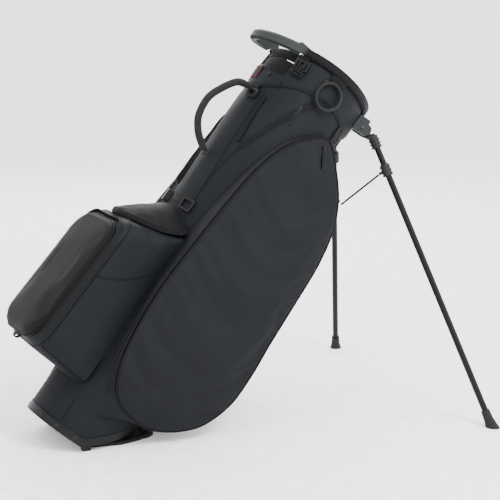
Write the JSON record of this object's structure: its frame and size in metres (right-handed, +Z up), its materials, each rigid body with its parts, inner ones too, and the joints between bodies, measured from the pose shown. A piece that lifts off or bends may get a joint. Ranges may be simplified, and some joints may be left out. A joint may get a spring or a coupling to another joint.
{
  "type": "golf stand bag",
  "caption": "Soft golf bag standing on a hinged foot plate and two folding legs, with zipped pockets, lift handles and a divided mouth.",
  "frame": {"origin": "on the floor, on the foot plate's sole at its hinge edge, on the centre plane", "axes": "+X along the floor from the hinge edge towards the legs, +Z up, +Y to the bag's left"},
  "size_m": [0.8753, 0.6538, 0.7667],
  "materials": {
    "shell_fabric": "woven nylon, blue-black, faint sheen",
    "padded_knit": "spacer knit, matt",
    "webbing": "ribbed webbing, matt",
    "moulded_plastic": "satin moulded nylon",
    "leg_tube": "gloss black",
    "steel_rod": "satin black-grey",
    "rubber": "matt rubber",
    "rivet": "satin"
  },
  "bodies": {
    "bag": {"accessory_pocket": "shell_fabric", "ball_pocket": "shell_fabric", "base_cup": "moulded_plastic", "buckle_socket": "moulded_plastic", "buckle_webbing": "webbing", "cuff": "shell_fabric", "divider_sheets": "padded_knit", "divider_top": "padded_knit", "grab_handle": "webbing", "handle_anchor": "webbing", "label_patch": "webbing", "leg_bracket_left": "moulded_plastic", "leg_bracket_right": "moulded_plastic", "leg_pin_left": "steel_rod", "leg_pin_right": "steel_rod", "lift_grip": "moulded_plastic", "loop_tab": "webbing", "panel_front_left": "shell_fabric", "panel_front_right": "shell_fabric", "panel_hip_centre": "shell_fabric", "panel_hip_left": "shell_fabric", "panel_hip_right": "shell_fabric", "panel_spine": "shell_fabric", "rim_pad": "padded_knit", "ring_tab": "webbing", "rivet_1": "rivet", "rivet_2": "rivet", "side_pocket_left": "shell_fabric", "side_pocket_right": "shell_fabric", "spine_clip": "moulded_plastic", "spine_slider": "moulded_plastic", "spine_webbing": "webbing", "strap_pad_front": "padded_knit", "strap_pad_rear": "padded_knit", "strap_web_front": "webbing", "strap_web_rear": "webbing"},
    "leg_right": {"leg_elbow_right": "moulded_plastic", "leg_tube_right": "leg_tube", "leg_clamp_right": "moulded_plastic", "leg_foot_right": "rubber"},
    "strut_right": {"strut_right": "steel_rod"},
    "leg_left": {"leg_elbow_left": "moulded_plastic", "leg_tube_left": "leg_tube", "leg_clamp_left": "moulded_plastic", "leg_foot_left": "rubber"},
    "strut_left": {"strut_left": "steel_rod"},
    "foot_plate": {"foot_plate": "moulded_plastic", "toe_bumper_right": "rubber", "toe_bumper_left": "rubber"},
    "push_rod": {"push_rod": "steel_rod", "yoke": "moulded_plastic"},
    "towel_ring": {"towel_ring": "moulded_plastic"},
    "gear_loop": {"gear_loop": "moulded_plastic"},
    "upper_pull_right": {"upper_pull_right": "moulded_plastic"},
    "side_pull_right": {"side_pull_right": "moulded_plastic"},
    "upper_pull_left": {"upper_pull_left": "moulded_plastic"},
    "side_pull_left": {"side_pull_left": "moulded_plastic"},
    "ball_pocket_lid": {"ball_pocket_lid": "shell_fabric"},
    "buckle_plug": {"buckle_plug": "moulded_plastic"}
  },
  "joints": [
    {"name": "leg_right_fold", "type": "hinge", "parent": "bag", "child": "leg_right", "pos_m": [0.59598, -0.0664, 0.57023], "axis": [0.3509, 0.8926, -0.2831], "range_deg": [0, 56.6]},
    {"name": "strut_right_pivot", "type": "hinge", "parent": "leg_right", "child": "strut_right", "pos_m": [0.61961, -0.1032, 0.48358], "axis": [-0.7664, -0.5458, -0.3385], "range_deg": [0, 55.61]},
    {"name": "leg_left_fold", "type": "hinge", "parent": "bag", "child": "leg_left", "pos_m": [0.59598, 0.0664, 0.57023], "axis": [-0.3509, 0.8926, 0.2831], "range_deg": [0, 56.6]},
    {"name": "strut_left_pivot", "type": "hinge", "parent": "leg_left", "child": "strut_left", "pos_m": [0.61961, 0.1032, 0.48358], "axis": [0.7664, -0.5458, 0.3385], "range_deg": [0, 55.61]},
    {"name": "foot_plate_hinge", "type": "hinge", "parent": "bag", "child": "foot_plate", "pos_m": [0.003, 0, 0.0064], "axis": [0, 1, 0], "range_deg": [0, 38.9]},
    {"name": "push_rod_pivot", "type": "hinge", "parent": "foot_plate", "child": "push_rod", "pos_m": [0.136, 0, 0.0129], "axis": [0, 1, 0], "range_deg": [-48.92, 0]},
    {"name": "towel_ring_swing", "type": "hinge", "parent": "bag", "child": "towel_ring", "pos_m": [0.50663, -0.11804, 0.66108], "axis": [-0.7707, 0.1392, 0.6219], "range_deg": [0, 100]},
    {"name": "gear_loop_swing", "type": "hinge", "parent": "bag", "child": "gear_loop", "pos_m": [0.38145, -0.02321, 0.65338], "axis": [-0.1618, 0.9781, 0.1306], "range_deg": [0, 90]},
    {"name": "upper_pull_right_swing", "type": "hinge", "parent": "bag", "child": "upper_pull_right", "pos_m": [0.43699, -0.10238, 0.61756], "axis": [-0.7164, 0.3907, 0.578], "range_deg": [0, 110]},
    {"name": "side_pull_right_swing", "type": "hinge", "parent": "bag", "child": "side_pull_right", "pos_m": [0.4794, -0.12661, 0.53876], "axis": [-0.9881, -0.0628, 0.1404], "range_deg": [0, 110]},
    {"name": "upper_pull_left_swing", "type": "hinge", "parent": "bag", "child": "upper_pull_left", "pos_m": [0.43699, 0.10238, 0.61756], "axis": [0.7164, 0.3907, -0.578], "range_deg": [0, 110]},
    {"name": "side_pull_left_swing", "type": "hinge", "parent": "bag", "child": "side_pull_left", "pos_m": [0.4794, 0.12661, 0.53876], "axis": [0.9881, -0.0628, -0.1404], "range_deg": [0, 110]},
    {"name": "ball_pocket_lid_open", "type": "hinge", "parent": "bag", "child": "ball_pocket_lid", "pos_m": [-0.09998, 0, 0.22462], "axis": [0, -1, 0], "range_deg": [0, 105]},
    {"name": "buckle_release", "type": "slide", "parent": "bag", "child": "buckle_plug", "axis": [-0.628, 0, -0.7782], "range_m": [0, 0.022]}
  ],
  "couplings": [
    {"joint": "strut_right_pivot", "follows": "leg_right_fold", "ratio": 0.98251},
    {"joint": "strut_left_pivot", "follows": "leg_right_fold", "ratio": 0.98251},
    {"joint": "leg_left_fold", "follows": "leg_right_fold", "ratio": 1},
    {"joint": "foot_plate_hinge", "follows": "leg_right_fold", "ratio": 0.68728},
    {"joint": "push_rod_pivot", "follows": "leg_right_fold", "ratio": -0.86431}
  ]
}
